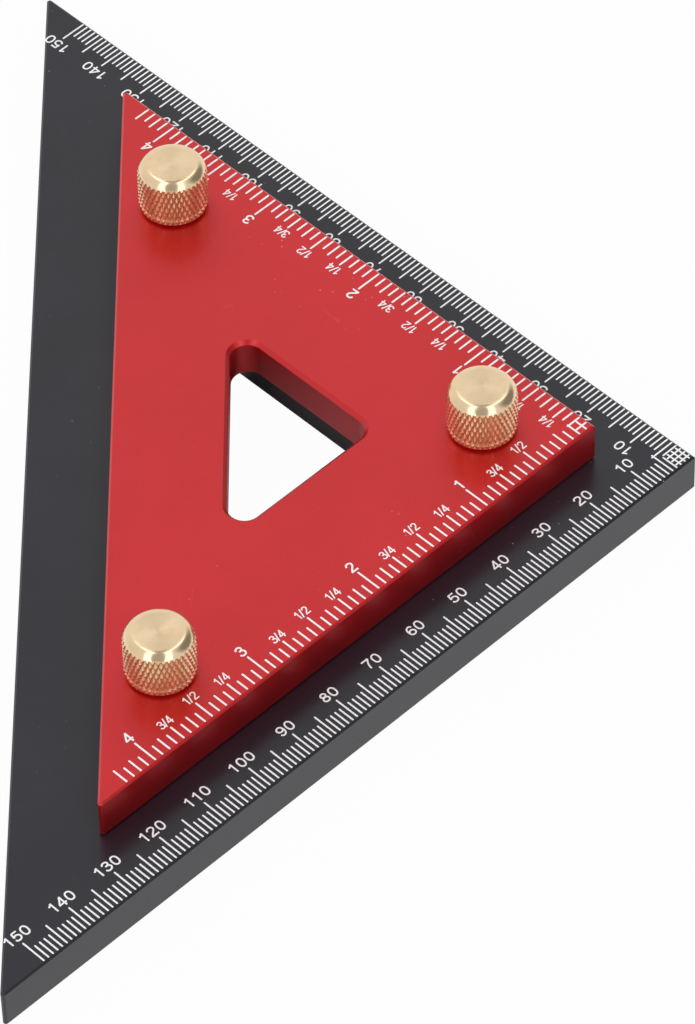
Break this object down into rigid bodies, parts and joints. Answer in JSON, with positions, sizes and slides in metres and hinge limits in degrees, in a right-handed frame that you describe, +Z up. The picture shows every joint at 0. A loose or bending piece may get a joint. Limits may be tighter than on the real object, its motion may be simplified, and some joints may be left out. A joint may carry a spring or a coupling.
{
  "type": "rafter square",
  "caption": "Small right-angled triangle plate stacked on a larger one, both with triangular windows and graduated legs, clamped together by knurled thumbscrews.",
  "frame": {"origin": "bottom centre of the bounding box, on the large square's underside", "axes": "+Z up through the stack, +Y along the long edges, +X towards the right angles"},
  "size_m": [0.1132, 0.2248, 0.026],
  "materials": {
    "black_anodised": "satin black anodised, with white-filled marks",
    "red_anodised": "satin red anodised, with white-filled marks",
    "brass": "turned and diamond-knurled, lightly polished",
    "steel": "turned",
    "nylon": "natural nylon"
  },
  "bodies": {
    "large_square": {"large_plate": "black_anodised", "thread_bush_corner": "steel", "thread_bush_front": "steel", "thread_bush_rear": "steel"},
    "small_square": {"small_plate": "red_anodised"},
    "washer_corner": {"knob_washer_corner": "nylon"},
    "knob_corner": {"knob_head_corner": "brass", "knob_stud_corner": "steel"},
    "washer_front": {"knob_washer_front": "nylon"},
    "knob_front": {"knob_head_front": "brass", "knob_stud_front": "steel"},
    "washer_rear": {"knob_washer_rear": "nylon"},
    "knob_rear": {"knob_head_rear": "brass", "knob_stud_rear": "steel"}
  },
  "joints": [
    {"name": "small_square_lift", "type": "slide", "parent": "large_square", "child": "small_square", "axis": [0, 0, 1], "range_m": [0, 0.02]},
    {"name": "knob_corner_rise", "type": "slide", "parent": "small_square", "child": "washer_corner", "axis": [0, 0, 1], "range_m": [0, 0.0056]},
    {"name": "knob_corner_turn", "type": "hinge", "parent": "washer_corner", "child": "knob_corner", "pos_m": [0.02065, 0, 0.016], "axis": [0, 0, 1], "range_deg": [0, 2520]},
    {"name": "knob_front_rise", "type": "slide", "parent": "small_square", "child": "washer_front", "axis": [0, 0, 1], "range_m": [0, 0.0056]},
    {"name": "knob_front_turn", "type": "hinge", "parent": "washer_front", "child": "knob_front", "pos_m": [-0.03217, -0.05282, 0.016], "axis": [0, 0, 1], "range_deg": [0, 2520]},
    {"name": "knob_rear_rise", "type": "slide", "parent": "small_square", "child": "washer_rear", "axis": [0, 0, 1], "range_m": [0, 0.0056]},
    {"name": "knob_rear_turn", "type": "hinge", "parent": "washer_rear", "child": "knob_rear", "pos_m": [-0.03217, 0.05282, 0.016], "axis": [0, 0, 1], "range_deg": [0, 2520]}
  ],
  "couplings": [
    {"joint": "knob_corner_rise", "follows": "knob_corner_turn", "m_per_rad": 0.00012732},
    {"joint": "knob_front_rise", "follows": "knob_front_turn", "m_per_rad": 0.00012732},
    {"joint": "knob_rear_rise", "follows": "knob_rear_turn", "m_per_rad": 0.00012732}
  ]
}
